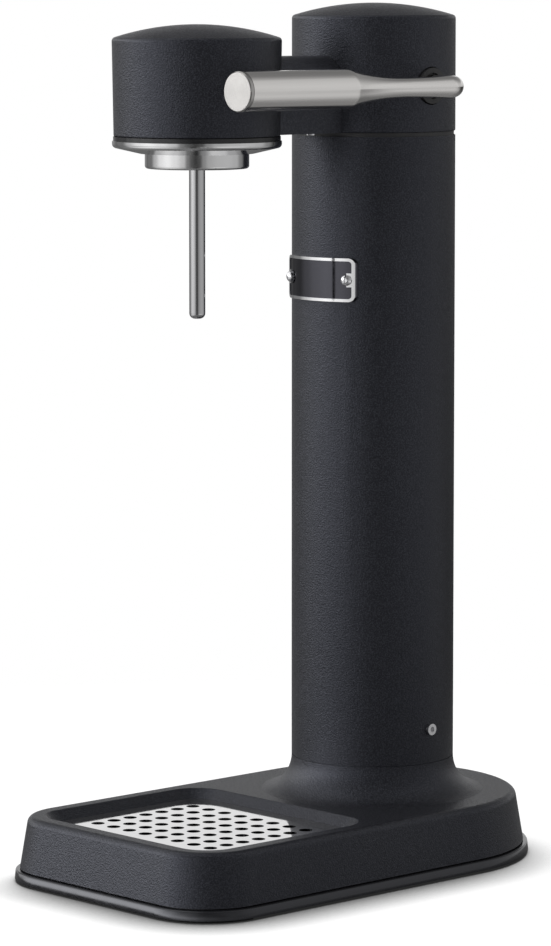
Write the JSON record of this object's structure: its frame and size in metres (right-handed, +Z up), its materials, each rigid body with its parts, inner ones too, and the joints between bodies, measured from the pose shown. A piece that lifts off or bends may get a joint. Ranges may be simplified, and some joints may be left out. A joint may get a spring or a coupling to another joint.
{
  "type": "sparkling water maker",
  "caption": "Counter-top sparkling water maker: column on a broad base with drip grille, domed head with bottle collar and nozzle, and a side lever that opens the gas valve.",
  "frame": {"origin": "on the counter under the middle of the footprint", "axes": "+Z up, +X to the lever side, -Y to the front where the bottle stands"},
  "size_m": [0.153, 0.258, 0.414],
  "materials": {
    "powder_black": "fine-textured matte black powder coat",
    "plate_black": "glossy black moulding",
    "bush_black": "satin black moulding",
    "rubber_black": "matte rubber",
    "steel_polished": "polished stainless steel",
    "steel_brushed": "finely brushed stainless steel",
    "screw_steel": "bright steel",
    "frame_alloy": "bare machined alloy",
    "frame_black": "black anodised alloy",
    "brass_bare": "bare machined brass",
    "cylinder_grey": "smooth grey paint",
    "copper_pipe": "drawn pipe"
  },
  "bodies": {
    "frame": {"front_foot": "rubber_black", "rear_foot": "rubber_black", "base_plate": "plate_black", "base_screw_1": "screw_steel", "base_screw_2": "screw_steel", "base_screw_3": "screw_steel", "base_screw_4": "screw_steel", "base_shell": "powder_black", "drip_tray": "powder_black", "column_socket": "frame_alloy", "column_tube": "powder_black", "column_screw_left": "screw_steel", "column_screw_right": "screw_steel", "nameplate": "steel_polished", "nameplate_screw_left": "screw_steel", "nameplate_screw_right": "screw_steel", "gas_cylinder": "cylinder_grey", "cylinder_valve": "brass_bare", "valve_block": "brass_bare", "valve_seal": "rubber_black", "plunger_seal": "rubber_black", "gland_washer": "brass_bare", "plunger_spring": "screw_steel", "chassis": "frame_black", "bush_left": "brass_bare", "bush_right": "brass_bare", "hub_bush": "bush_black", "column_cap": "powder_black", "bridge": "powder_black", "bridge_floor": "powder_black", "bridge_screw_left": "screw_steel", "bridge_screw_right": "screw_steel", "gas_pipe": "copper_pipe", "pipe_nut_rear": "brass_bare", "pipe_nut_front": "brass_bare", "head_shell": "powder_black", "head_gasket": "plate_black", "head_screw_1": "screw_steel", "head_screw_2": "screw_steel", "head_screw_3": "screw_steel", "head_ring": "steel_polished", "bottle_collar": "steel_polished", "bottle_seal": "rubber_black", "nozzle_block": "brass_bare", "nozzle_tube": "steel_polished", "relief_body": "brass_bare", "relief_spring": "screw_steel"},
    "lever": {"lever": "steel_brushed", "lever_end_cap": "steel_brushed", "lever_shaft": "screw_steel", "cam": "screw_steel", "cam_pin": "screw_steel", "shaft_clip": "screw_steel"},
    "plunger": {"plunger": "screw_steel"},
    "valve_pin": {"valve_pin": "screw_steel"},
    "grille": {"drip_grille": "steel_polished"},
    "relief": {"relief_poppet": "screw_steel"}
  },
  "joints": [
    {"name": "lever_pull", "type": "hinge", "parent": "frame", "child": "lever", "pos_m": [0, 0.0525, 0.3747], "axis": [1, 0, 0], "range_deg": [0, 40], "stiffness_Nm_per_rad": 1, "springref_deg": -34.38},
    {"name": "plunger_press", "type": "slide", "parent": "frame", "child": "plunger", "axis": [0, 0, -1], "range_m": [0, 0.0023], "deforming": ["plunger_spring"]},
    {"name": "valve_pin_press", "type": "slide", "parent": "frame", "child": "valve_pin", "axis": [0, 0, -1], "range_m": [0, 0.0023]},
    {"name": "grille_lift", "type": "slide", "parent": "frame", "child": "grille", "axis": [0, 0, 1], "range_m": [0, 0.04]},
    {"name": "relief_lift", "type": "slide", "parent": "frame", "child": "relief", "axis": [0, 0, 1], "range_m": [0, 0.0015], "stiffness_N_per_m": 2000, "springref_m": -0.002, "deforming": ["relief_spring"]}
  ],
  "couplings": [
    {"joint": "plunger_press", "follows": "lever_pull", "m_per_rad": 0.003223},
    {"joint": "valve_pin_press", "follows": "lever_pull", "m_per_rad": 0.003223}
  ]
}
